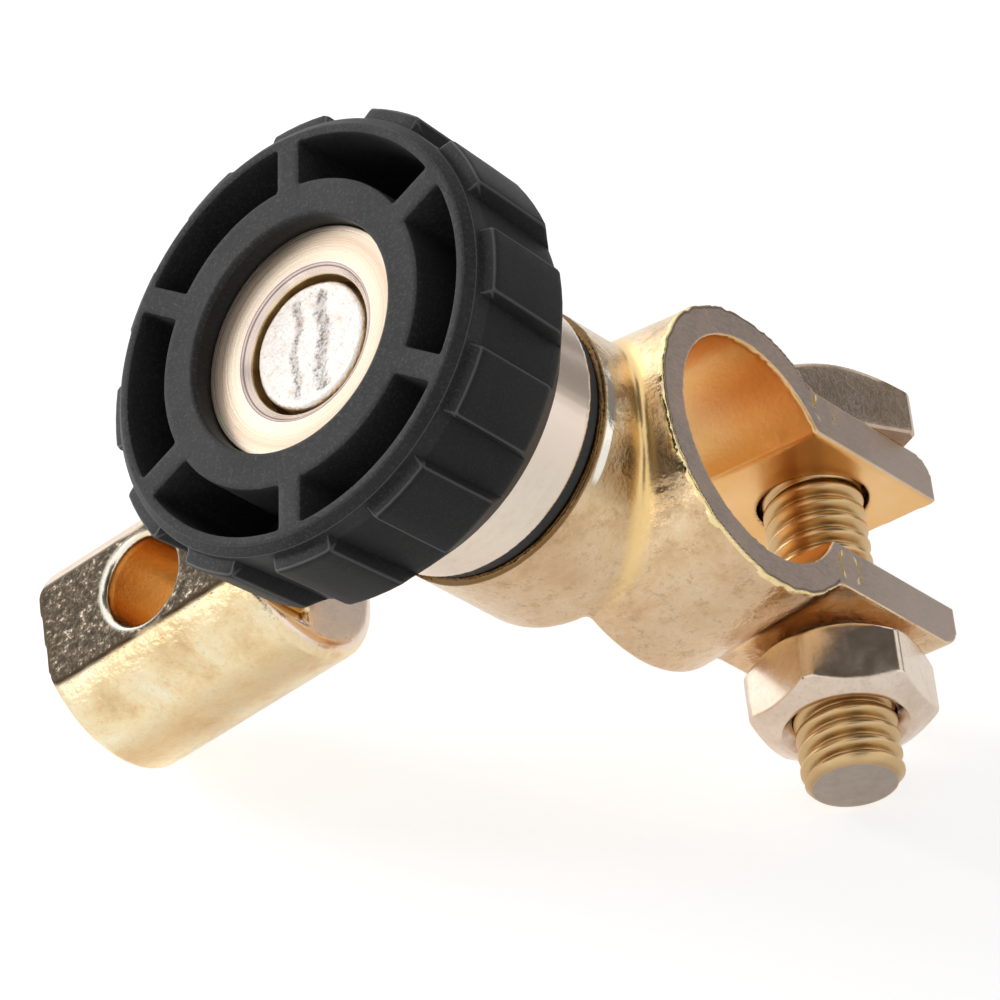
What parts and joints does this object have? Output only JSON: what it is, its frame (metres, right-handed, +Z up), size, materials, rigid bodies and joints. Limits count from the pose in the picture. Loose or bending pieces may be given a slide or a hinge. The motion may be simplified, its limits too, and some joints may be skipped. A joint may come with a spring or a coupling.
{
  "type": "battery terminal clamp",
  "caption": "Split clamp for a battery post with a side stud, swivelling cable lug and screw-down hand knob that makes and breaks the circuit.",
  "frame": {"origin": "axis of the post bore, in the plane of the clamp's lower face", "axes": "+Z up out of the battery along the post bore, +X from the knob towards the ears, +Y towards the clamp nut"},
  "size_m": [0.0637, 0.0383, 0.0564],
  "materials": {
    "plated_casting": "cast and gold plated, with a ground lower face",
    "plated_lug": "cast and gold plated, with machined flats",
    "plated_stud": "bright, with a rough peened end",
    "turned_brass": "turned, with fine rings",
    "black_insulator": "black",
    "black_moulding": "fine matte texture",
    "plated_fastener": "gold plated, slightly dull"
  },
  "bodies": {
    "clamp": {"clamp_casting": "plated_casting", "stud": "plated_stud", "insulating_bush": "black_insulator"},
    "lug": {"cable_lug": "plated_lug"},
    "knob_carrier": {"knob_bush": "turned_brass"},
    "knob": {"knob": "black_moulding"},
    "bolt": {"clamp_bolt": "plated_fastener"},
    "nut": {"clamp_nut": "plated_fastener"}
  },
  "joints": [
    {"name": "lug_swivel", "type": "hinge", "parent": "clamp", "child": "lug", "pos_m": [-0.02095, 0, 0.0134], "axis": [1, 0, 0], "continuous": true},
    {"name": "knob_travel", "type": "slide", "parent": "clamp", "child": "knob_carrier", "axis": [-1, 0, 0], "range_m": [0, 0.003]},
    {"name": "knob_turn", "type": "hinge", "parent": "knob_carrier", "child": "knob", "pos_m": [-0.0317, 0, 0.0134], "axis": [-1, 0, 0], "range_deg": [0, 764]},
    {"name": "nut_turn", "type": "hinge", "parent": "clamp", "child": "nut", "pos_m": [0.0164, 0.0119, 0.00675], "axis": [0, 1, 0], "range_deg": [0, 1264]},
    {"name": "bolt_slide", "type": "slide", "parent": "clamp", "child": "bolt", "axis": [0, -1, 0], "range_m": [0, 0.00496]}
  ],
  "couplings": [
    {"joint": "knob_travel", "follows": "knob_turn", "m_per_rad": 0.00022459},
    {"joint": "bolt_slide", "follows": "nut_turn", "m_per_rad": 0.00022459}
  ]
}
